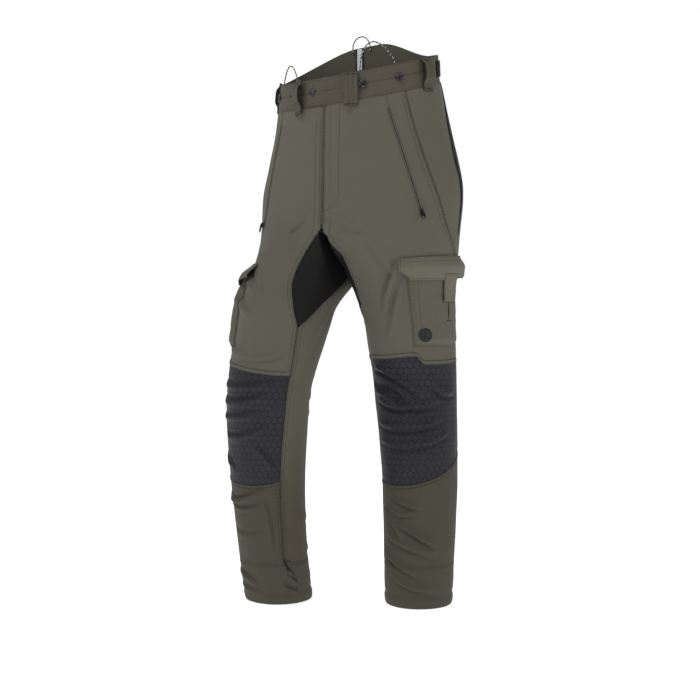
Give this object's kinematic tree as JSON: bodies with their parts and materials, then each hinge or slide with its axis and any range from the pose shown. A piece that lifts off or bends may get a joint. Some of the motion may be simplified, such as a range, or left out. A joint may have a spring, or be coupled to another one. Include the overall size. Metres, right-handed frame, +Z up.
{
  "type": "protective work trousers",
  "caption": "Cut-resistant work trousers standing as worn, with knee panels, cargo pockets, belt loops, brace buttons and zipped hand pockets.",
  "frame": {"origin": "centre of the waist seam", "axes": "+Z up the body, -Y out of the front, +X toward the wearer's left"},
  "size_m": [0.4803, 0.4099, 1.2262],
  "materials": {
    "olive_cloth": "olive four-way stretch cloth with a fine diagonal weave, matt",
    "dark_olive_cloth": "tougher dark olive cloth on the shins",
    "hexagon_knee_cloth": "charcoal coated cloth with raised hatched hexagons",
    "black_stretch_cloth": "smooth navy-black stretch cloth",
    "black_button": "satin black moulded plastic",
    "black_zip_metal": "black lacquered zinc",
    "zip_tape": "black coil zip on woven tape",
    "hook_and_loop": "black hook-and-loop strap with a bound edge",
    "speckled_cord": "round elastic cord, black flecked with white",
    "woven_tape": "white woven tape with dark edges and no lettering",
    "cut_resistant_padding": "layered long-fibre padding in a thin cover"
  },
  "bodies": {
    "garment": {"front_panel_left": "olive_cloth", "back_panel_left": "olive_cloth", "knee_panel_upper_left": "hexagon_knee_cloth", "side_panel_left": "black_stretch_cloth", "front_panel_right": "olive_cloth", "back_panel_right": "olive_cloth", "knee_panel_upper_right": "hexagon_knee_cloth", "side_panel_right": "black_stretch_cloth", "crotch_gusset": "black_stretch_cloth", "waistband_front_left": "olive_cloth", "waistband_front_right": "olive_cloth", "waistband_back": "olive_cloth", "belt_loop_front_left": "olive_cloth", "belt_loop_front_right": "olive_cloth", "belt_loop_side_left": "olive_cloth", "belt_loop_side_right": "olive_cloth", "belt_loop_back_left": "olive_cloth", "belt_loop_back_right": "olive_cloth", "brace_button_front_left": "black_button", "brace_button_front_right": "black_button", "brace_button_side_left": "black_button", "brace_button_side_right": "black_button", "brace_button_back_left": "black_button", "brace_button_back_right": "black_button", "hanger_tape": "woven_tape", "cord_loop_front_left": "speckled_cord", "cord_loop_front_right": "speckled_cord", "cord_loop_back": "speckled_cord", "fly_zip": "zip_tape", "fly_shield": "olive_cloth", "fly_facing": "olive_cloth", "pocket_zip_left": "zip_tape", "pocket_bag_left": "olive_cloth", "pocket_zip_right": "zip_tape", "pocket_bag_right": "olive_cloth", "cargo_pocket_left": "olive_cloth", "cargo_pocket_right": "olive_cloth", "protective_pad_upper_left": "cut_resistant_padding", "protective_pad_upper_right": "cut_resistant_padding"},
    "left_shin": {"knee_panel_lower_left": "hexagon_knee_cloth", "shin_front_left": "dark_olive_cloth", "shin_back_left": "dark_olive_cloth", "hem_band_left": "dark_olive_cloth", "protective_pad_lower_left": "cut_resistant_padding"},
    "left_flap": {"cargo_flap_left": "olive_cloth"},
    "left_adjuster": {"waist_adjuster_left": "hook_and_loop"},
    "left_pocket_slider": {"pocket_slider_left": "black_zip_metal"},
    "left_pocket_puller": {"pocket_puller_left": "black_zip_metal"},
    "right_shin": {"knee_panel_lower_right": "hexagon_knee_cloth", "shin_front_right": "dark_olive_cloth", "shin_back_right": "dark_olive_cloth", "hem_band_right": "dark_olive_cloth", "protective_pad_lower_right": "cut_resistant_padding"},
    "right_flap": {"cargo_flap_right": "olive_cloth"},
    "right_adjuster": {"waist_adjuster_right": "hook_and_loop"},
    "right_pocket_slider": {"pocket_slider_right": "black_zip_metal"},
    "right_pocket_puller": {"pocket_puller_right": "black_zip_metal"},
    "overlap_tab": {"waist_tab": "olive_cloth", "waist_snap": "black_button"},
    "fly_slider": {"fly_slider": "black_zip_metal"}
  },
  "joints": [
    {"name": "left_knee", "type": "hinge", "parent": "garment", "child": "left_shin", "pos_m": [0.119, 0.059, -0.609], "axis": [1, 0, 0], "range_deg": [0, 60]},
    {"name": "left_flap_hinge", "type": "hinge", "parent": "garment", "child": "left_flap", "pos_m": [0.21927, -0.03231, -0.35065], "axis": [-0.4157, -0.9065, -0.0735], "range_deg": [0, 150]},
    {"name": "left_adjuster_hinge", "type": "hinge", "parent": "garment", "child": "left_adjuster", "pos_m": [0.09773, 0.11242, 0.06588], "axis": [-0.0575, -0.0661, 0.9962], "range_deg": [0, 120]},
    {"name": "left_pocket_slide", "type": "slide", "parent": "garment", "child": "left_pocket_slider", "axis": [-0.2918, -0.0946, 0.9518], "range_m": [0, 0.18]},
    {"name": "left_puller_hinge", "type": "hinge", "parent": "left_pocket_slider", "child": "left_pocket_puller", "pos_m": [0.20453, -0.07914, -0.26159], "axis": [-0.7931, -0.5324, -0.296], "range_deg": [0, 150]},
    {"name": "right_knee", "type": "hinge", "parent": "garment", "child": "right_shin", "pos_m": [-0.127, -0.117, -0.609], "axis": [1, 0, 0], "range_deg": [0, 60]},
    {"name": "right_flap_hinge", "type": "hinge", "parent": "garment", "child": "right_flap", "pos_m": [-0.20588, -0.09671, -0.35065], "axis": [-0.5196, 0.8506, 0.0807], "range_deg": [0, 150]},
    {"name": "right_adjuster_hinge", "type": "hinge", "parent": "garment", "child": "right_adjuster", "pos_m": [-0.09773, 0.11242, 0.06588], "axis": [-0.0575, 0.0661, -0.9962], "range_deg": [0, 120]},
    {"name": "right_pocket_slide", "type": "slide", "parent": "garment", "child": "right_pocket_slider", "axis": [0.2231, -0.0027, 0.9748], "range_m": [0, 0.18]},
    {"name": "right_puller_hinge", "type": "hinge", "parent": "right_pocket_slider", "child": "right_pocket_puller", "pos_m": [-0.18526, -0.09419, -0.26155], "axis": [-0.8315, 0.5213, 0.1918], "range_deg": [0, 150]},
    {"name": "tab_hinge", "type": "hinge", "parent": "garment", "child": "overlap_tab", "pos_m": [-0.00044, -0.12528, -0.01297], "axis": [0, -0.0048, 1], "range_deg": [0, 150]},
    {"name": "fly_slide", "type": "slide", "parent": "garment", "child": "fly_slider", "axis": [0, -0.0298, -0.9996], "range_m": [0, 0.16]}
  ]
}
